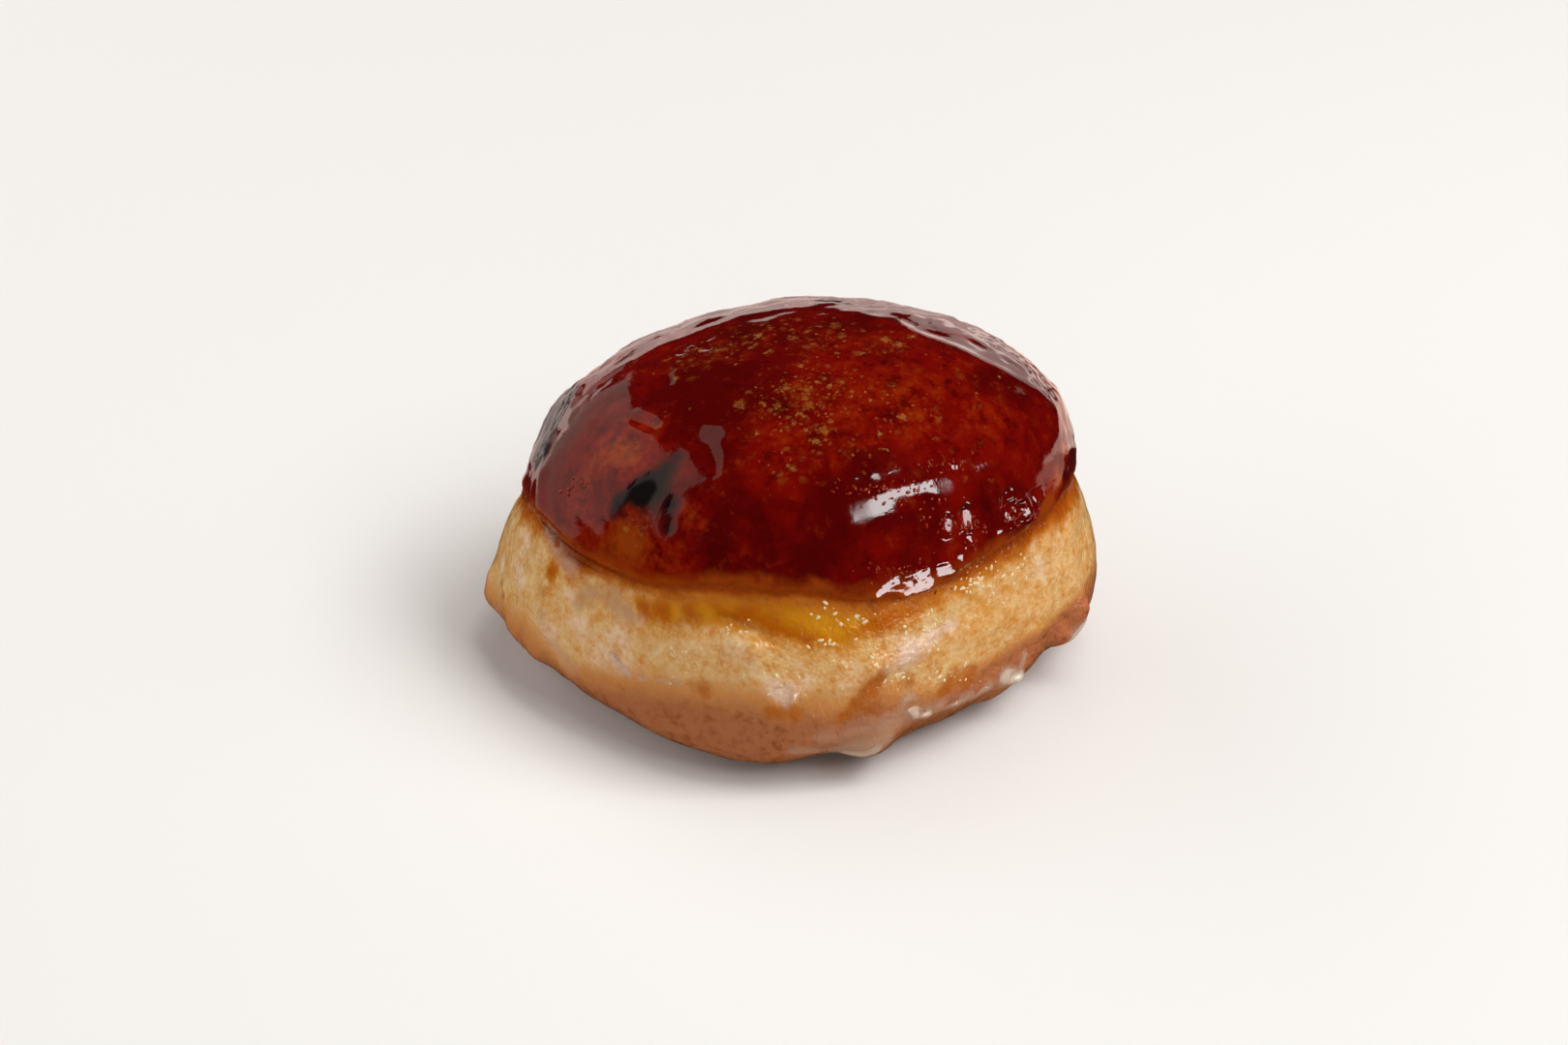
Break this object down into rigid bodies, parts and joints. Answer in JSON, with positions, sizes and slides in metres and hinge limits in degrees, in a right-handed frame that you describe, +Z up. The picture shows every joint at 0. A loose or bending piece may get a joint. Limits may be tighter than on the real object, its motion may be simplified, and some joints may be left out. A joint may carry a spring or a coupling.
{
  "type": "square doughnut",
  "caption": "Soft rounded-square fried doughnut, whole and uncut, domed on top under a thin layer of dark burnt caramel, to stand on a plate or a tray.",
  "frame": {"origin": "middle of the flat spot that it rests on, at the bottom centre of its box", "axes": "+Z up, +X and -Y out of the two sides that meet at the front corner"},
  "size_m": [0.0836, 0.0816, 0.0525],
  "materials": {
    "fried_dough": "soft fried dough: pale cream band round the sides, brown below, thin sugar glaze",
    "burnt_caramel": "hard glossy caramel, deep red brown with black burnt spots",
    "sugar_glaze": "clear to milky set sugar glaze"
  },
  "bodies": {
    "root": {"dough": "fried_dough", "caramel_top": "burnt_caramel"}
  },
  "joints": []
}
